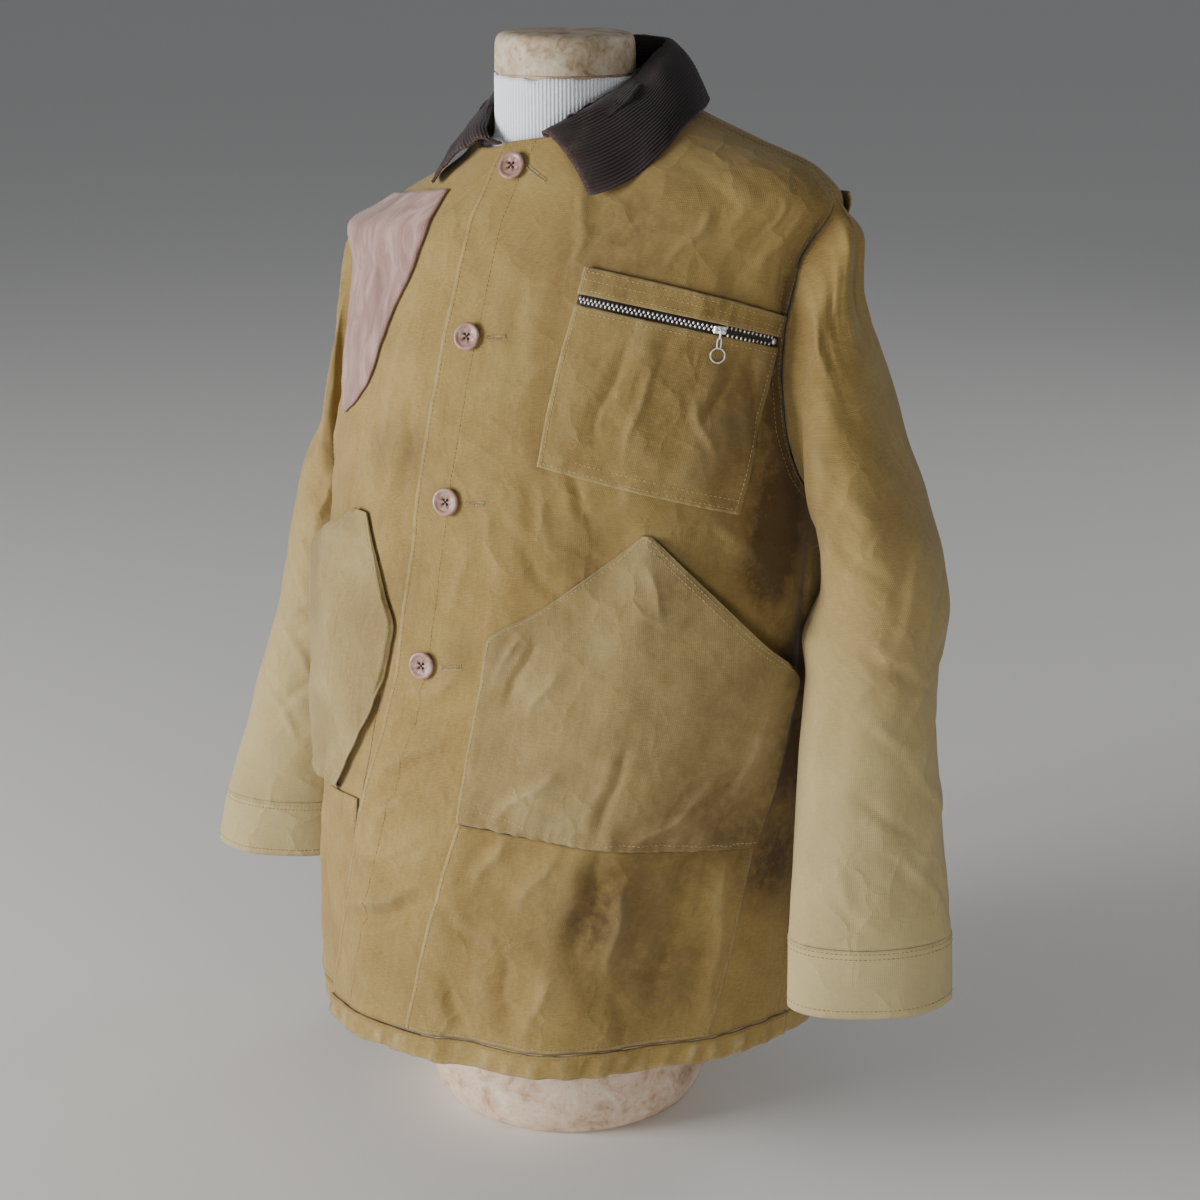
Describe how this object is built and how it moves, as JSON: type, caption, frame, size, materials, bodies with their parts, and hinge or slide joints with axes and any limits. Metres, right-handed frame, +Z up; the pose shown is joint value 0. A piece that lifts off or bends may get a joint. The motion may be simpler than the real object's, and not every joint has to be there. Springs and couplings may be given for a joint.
{
  "type": "field coat on a dress form",
  "caption": "Thigh-length canvas field coat with corduroy collar, suede shoulder patch, zip chest pocket and bellows pockets, buttoned on a limbless dress form.",
  "frame": {"origin": "centre of the dress form's flat foot", "axes": "+Z up, the coat's front faces -Y, the wearer's left is +X"},
  "size_m": [0.7622, 0.3779, 0.9005],
  "materials": {
    "duck": "worn cotton duck",
    "corduroy": "worn corduroy",
    "suede": "suede",
    "tape": "woven tape",
    "button": "satin",
    "steel": "worn metal",
    "mache": "painted and worn papier-mache",
    "knit": "rib knit"
  },
  "bodies": {
    "coat_on_form": {"front_left": "duck", "front_right": "duck", "back": "duck", "hem_left": "duck", "hem_right": "duck", "hem_back": "duck", "sleeve_left": "duck", "cuff_left": "duck", "sleeve_right": "duck", "cuff_right": "duck", "collar": "corduroy", "recoil_patch": "suede", "chest_pocket_top": "duck", "chest_pocket_bag": "duck", "zip_tape": "tape", "lower_pocket_left": "duck", "lower_panel_left": "duck", "lower_pocket_right": "duck", "lower_panel_right": "duck", "back_pleat_left": "duck", "back_pleat_right": "duck", "button_1": "button", "button_2": "button", "button_3": "button", "button_4": "button", "zip_chain": "steel", "zip_slider": "steel", "form_torso": "mache", "form_neck_cover": "knit", "form_cap": "mache"},
    "pull": {"zip_pull": "steel"}
  },
  "joints": [
    {"name": "pull_hinge", "type": "hinge", "parent": "coat_on_form", "child": "pull", "pos_m": [0.19448, -0.06561, 0.69759], "axis": [-0.7324, -0.6695, 0.1239], "range_deg": [0, 130]}
  ]
}
